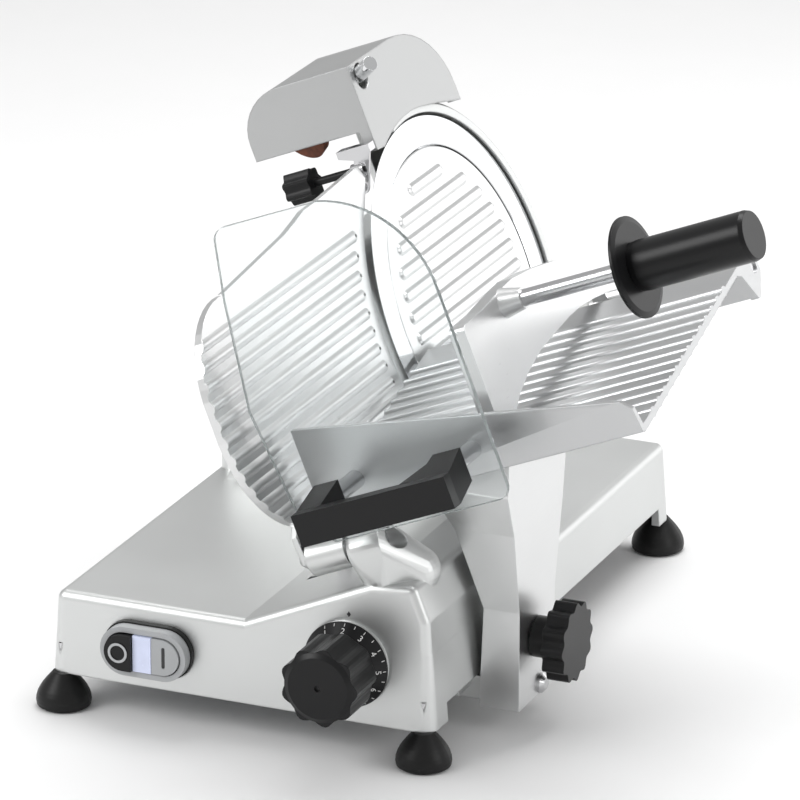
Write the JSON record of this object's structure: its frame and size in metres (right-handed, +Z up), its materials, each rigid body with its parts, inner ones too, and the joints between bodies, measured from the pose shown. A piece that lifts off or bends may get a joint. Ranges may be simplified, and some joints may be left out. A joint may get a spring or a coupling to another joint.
{
  "type": "meat slicer",
  "caption": "Tabletop gravity-feed slicer: tilted round blade in a ring guard, gauge plate with dial, sliding ribbed food tray with clear hand guard and pusher, and a top-mounted sharpener.",
  "frame": {"origin": "middle of the object's footprint, on the table under the rubber feet", "axes": "+X to the right as the operator stands in front of the switch, +Y to the rear along the carriage travel, +Z up"},
  "size_m": [0.4676, 0.5185, 0.3859],
  "materials": {
    "cast_aluminium": "satin anodised casting",
    "brushed_aluminium": "satin, lightly brushed",
    "sheet_steel": "rolled sheet",
    "bright_steel": "bright turned or ground",
    "spring_steel": "oiled wire",
    "blade_steel": "ground hardened steel",
    "chrome_pin": "polished",
    "black_plastic": "black, fine grain",
    "grey_plastic": "grey, satin",
    "white_plastic": "white, satin",
    "lens": "translucent",
    "clear_sheet": "clear polycarbonate",
    "black_rubber": "matt",
    "motor_paint": "dark enamel",
    "brown_stone": "bonded abrasive",
    "grey_stone": "bonded abrasive"
  },
  "bodies": {
    "frame": {"base_casting": "cast_aluminium", "bottom_plate": "sheet_steel", "rubber_feet": "black_rubber", "foot_screws": "bright_steel", "switch_bezel": "grey_plastic", "switch_gasket": "black_rubber", "switch_block": "black_plastic", "indicator_lens": "lens", "gauge_spring": "spring_steel", "blade_housing": "cast_aluminium", "blade_bearings": "bright_steel", "blade_cover": "brushed_aluminium", "motor": "motor_paint", "drive_belt": "black_rubber", "capacitor": "white_plastic", "cable_gland": "black_plastic", "slide_rod": "bright_steel", "guide_bar": "bright_steel", "sharpener_post": "bright_steel"},
    "off_button": {"off_button": "black_plastic"},
    "on_button": {"on_button": "grey_plastic"},
    "dial": {"dial_ring": "black_plastic", "dial_knob": "black_plastic", "dial_shaft": "bright_steel", "spiral_cam": "bright_steel"},
    "gauge": {"gauge_plate": "brushed_aluminium", "gauge_support": "cast_aluminium", "gauge_rod": "bright_steel", "gauge_link": "bright_steel"},
    "blade_rotor": {"blade_shaft": "bright_steel", "blade": "blade_steel", "blade_screws": "bright_steel", "blade_pulley": "cast_aluminium"},
    "motor_rotor": {"motor_rotor": "bright_steel"},
    "tie_knob": {"tie_rod": "bright_steel", "tie_rod_knob": "black_plastic"},
    "carriage": {"carriage_block": "cast_aluminium", "carriage_arm": "brushed_aluminium", "arm_bolt": "bright_steel", "food_tray": "brushed_aluminium", "tray_rod": "bright_steel", "tray_rod_nut": "bright_steel", "guard_sheet": "clear_sheet", "guard_spacers": "bright_steel", "guard_handle": "black_plastic"},
    "arm_lock": {"arm_lock_knob": "black_plastic"},
    "pusher_slider": {"pusher_bush": "white_plastic"},
    "pusher": {"pusher": "brushed_aluminium", "pusher_rod": "bright_steel", "hand_disc": "black_plastic", "pusher_grip": "black_plastic"},
    "sharpener": {"sharpener_hood": "brushed_aluminium", "sharpener_body": "cast_aluminium", "stone_shafts": "bright_steel", "sharpener_bracket": "bright_steel"},
    "sharpener_pin": {"sharpener_pin": "chrome_pin"},
    "sharpening_stone": {"sharpening_stone": "brown_stone"},
    "deburring_stone": {"deburring_stone": "grey_stone"},
    "clamp_knob": {"clamp_knob": "black_plastic"}
  },
  "joints": [
    {"name": "off_press", "type": "slide", "parent": "frame", "child": "off_button", "axis": [0, 1, 0], "range_m": [0, 0.0025], "stiffness_N_per_m": 600, "springref_m": -0.001},
    {"name": "on_press", "type": "slide", "parent": "frame", "child": "on_button", "axis": [0, 1, 0], "range_m": [0, 0.0025], "stiffness_N_per_m": 600, "springref_m": -0.001},
    {"name": "gauge_slide", "type": "slide", "parent": "frame", "child": "gauge", "axis": [-0.9262, 0, -0.377], "range_m": [-0.002, 0.011], "deforming": ["gauge_spring"]},
    {"name": "dial_turn", "type": "hinge", "parent": "frame", "child": "dial", "pos_m": [-0.0068, -0.2323, 0.0643], "axis": [0, -1, 0], "range_deg": [-46.4, 254.2]},
    {"name": "blade_spin", "type": "hinge", "parent": "frame", "child": "blade_rotor", "pos_m": [-0.0631, 0.1242, 0.2076], "axis": [0.9262, 0, 0.377], "continuous": true},
    {"name": "motor_spin", "type": "hinge", "parent": "frame", "child": "motor_rotor", "pos_m": [-0.10854, 0.1502, 0.10705], "axis": [0.9262, 0, 0.377], "continuous": true},
    {"name": "tie_knob_turn", "type": "hinge", "parent": "frame", "child": "tie_knob", "pos_m": [-0.21129, 0.1242, 0.14727], "axis": [0.9262, 0, 0.377], "range_deg": [0, 360]},
    {"name": "carriage_slide", "type": "slide", "parent": "frame", "child": "carriage", "axis": [0, 1, 0], "range_m": [0, 0.215]},
    {"name": "arm_lock_turn", "type": "hinge", "parent": "carriage", "child": "arm_lock", "pos_m": [0.1069, -0.1083, 0.06], "axis": [1, 0, 0], "range_deg": [0, 360]},
    {"name": "pusher_slide", "type": "slide", "parent": "carriage", "child": "pusher_slider", "axis": [0.9262, 0, 0.377], "range_m": [-0.102, 0.032]},
    {"name": "pusher_swing", "type": "hinge", "parent": "pusher_slider", "child": "pusher", "pos_m": [0.08443, 0.0537, 0.24304], "axis": [-0.9262, 0, -0.377], "range_deg": [0, 95]},
    {"name": "sharpener_lift", "type": "slide", "parent": "frame", "child": "sharpener", "axis": [-0.377, 0, 0.9262], "range_m": [0, 0.028]},
    {"name": "pin_press", "type": "slide", "parent": "sharpener", "child": "sharpener_pin", "axis": [-0.6603, 0.3874, -0.6434], "range_m": [0, 0.004], "stiffness_N_per_m": 800, "springref_m": -0.001},
    {"name": "stone_spin", "type": "hinge", "parent": "sharpener", "child": "sharpening_stone", "pos_m": [-0.17146, 0.0862, 0.31465], "axis": [0.1636, 0.847, 0.5057], "continuous": true},
    {"name": "deburr_spin", "type": "hinge", "parent": "sharpener", "child": "deburring_stone", "pos_m": [-0.14525, 0.0912, 0.32586], "axis": [-0.358, 0.8864, 0.2934], "continuous": true},
    {"name": "clamp_turn", "type": "hinge", "parent": "sharpener", "child": "clamp_knob", "pos_m": [-0.15591, 0.0542, 0.29236], "axis": [0.9262, 0, 0.377], "range_deg": [0, 360]}
  ],
  "couplings": [
    {"joint": "dial_turn", "follows": "gauge_slide", "rad_per_m": 402.77},
    {"joint": "motor_spin", "follows": "blade_spin", "ratio": 4}
  ]
}
